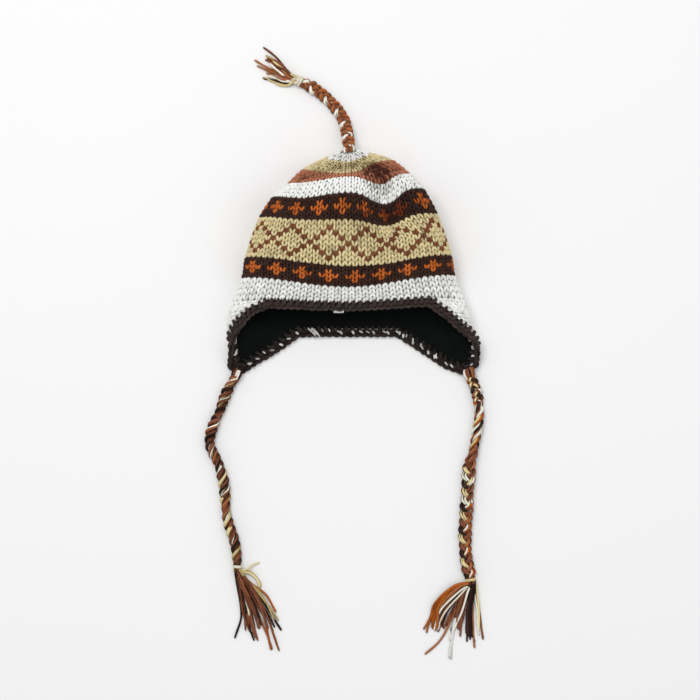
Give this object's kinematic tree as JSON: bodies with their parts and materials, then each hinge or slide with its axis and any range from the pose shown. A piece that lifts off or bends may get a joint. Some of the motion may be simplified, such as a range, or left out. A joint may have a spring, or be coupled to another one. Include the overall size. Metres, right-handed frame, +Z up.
{
  "type": "chullo hat",
  "caption": "Knitted earflap hat with a patterned crown, dark fleece lining, crocheted edge, and plaited ties with tassels at its top and flap tips, lying on its back.",
  "frame": {"origin": "on the surface that the hat lies on, under the middle of the hat without its plaited ties", "axes": "+X to the wearer's left, +Y toward the crown's top, +Z up from the surface through the hat's front"},
  "size_m": [0.3338, 0.7341, 0.0889],
  "materials": {
    "patterned_knit": "thick wool stocking stitch in tan, brown, white and rust bands",
    "white_knit": "thick off-white wool stocking stitch",
    "fleece": "black fleece",
    "crochet": "dark brown crocheted wool",
    "label": "bare white woven tab",
    "plait": "plaited wool in rust, dark brown, cream and tan",
    "thread": "tan wool thread"
  },
  "bodies": {
    "root": {"knit_crown": "patterned_knit", "ear_flap_right": "white_knit", "ear_flap_left": "white_knit", "lining": "fleece", "edge_trim": "crochet", "label_tab": "label", "braid_top": "plait", "tie_top": "thread", "tassel_top": "plait", "braid_left": "plait", "tie_left": "thread", "tassel_left": "plait", "braid_right": "plait", "tie_right": "thread", "tassel_right": "plait"}
  },
  "joints": []
}
